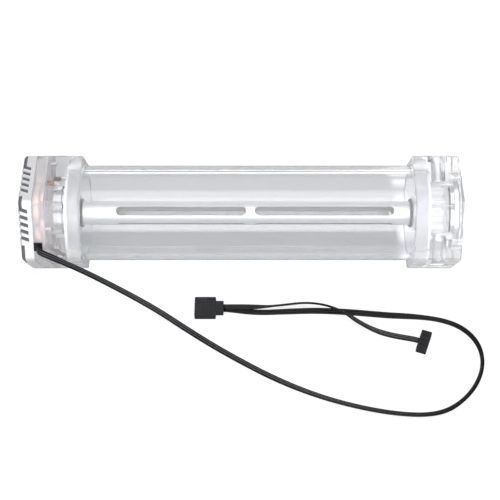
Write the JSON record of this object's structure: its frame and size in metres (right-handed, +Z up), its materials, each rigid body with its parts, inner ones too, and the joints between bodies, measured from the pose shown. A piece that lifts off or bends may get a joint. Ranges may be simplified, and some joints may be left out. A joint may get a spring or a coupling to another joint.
{
  "type": "water cooling reservoir",
  "caption": "Cylindrical water cooling reservoir with clear hexagonal end blocks, a slotted inner tube, side ports, a fill plug, a vented lamp cover and a lamp lead.",
  "frame": {"origin": "bottom centre of the reservoir without its leads, on the surface that its flats rest on", "axes": "+X along the tube towards the port end, +Z up from the flats it lies on, -Y towards the side where the lead leaves"},
  "size_m": [0.2844, 0.1686, 0.0664],
  "materials": {
    "clear_tube": "clear extruded acrylic, polished",
    "clear_block": "clear acrylic, milled and polished",
    "light_plate": "clear acrylic light guide",
    "cover_metal": "silver anodised, satin",
    "tube_metal": "silver anodised, fine satin",
    "plug_metal": "turned and anodised silver",
    "black_rubber": "black nitrile, matte",
    "clear_silicone": "translucent silicone",
    "board_laminate": "white solder mask",
    "lamp_white": "white lamp package with clear window",
    "screw_steel": "dark zinc",
    "insert_brass": "plain brass",
    "white_nylon": "white nylon",
    "wire_jacket": "black soft vinyl with a sheen",
    "connector_plastic": "black moulded nylon"
  },
  "bodies": {
    "reservoir": {"reservoir_tube": "clear_tube", "lamp_end_block": "clear_block", "port_end_block": "clear_block", "light_plate": "light_plate", "vented_cover": "cover_metal", "distribution_tube": "tube_metal", "tie_nut": "tube_metal", "lamp_face_seal": "clear_silicone", "port_face_seal": "clear_silicone", "lamp_gland_seal": "black_rubber", "port_gland_seal": "black_rubber", "lamp_board": "board_laminate", "lamp_chips": "lamp_white", "board_screws": "screw_steel", "cover_screws": "screw_steel", "thread_inserts": "insert_brass", "locating_pins": "white_nylon", "lead_grommet": "black_rubber", "wire_ends": "wire_jacket", "main_lead": "wire_jacket", "branch_lead": "wire_jacket", "connector_shell": "connector_plastic", "connector_contacts": "insert_brass", "small_plug": "connector_plastic", "small_plug_contacts": "insert_brass"},
    "plug": {"fill_plug": "plug_metal", "fill_plug_seal": "black_rubber"}
  },
  "joints": [
    {"name": "fill_plug_out", "type": "slide", "parent": "reservoir", "child": "plug", "axis": [1, 0, 0], "range_m": [0, 0.02]}
  ]
}
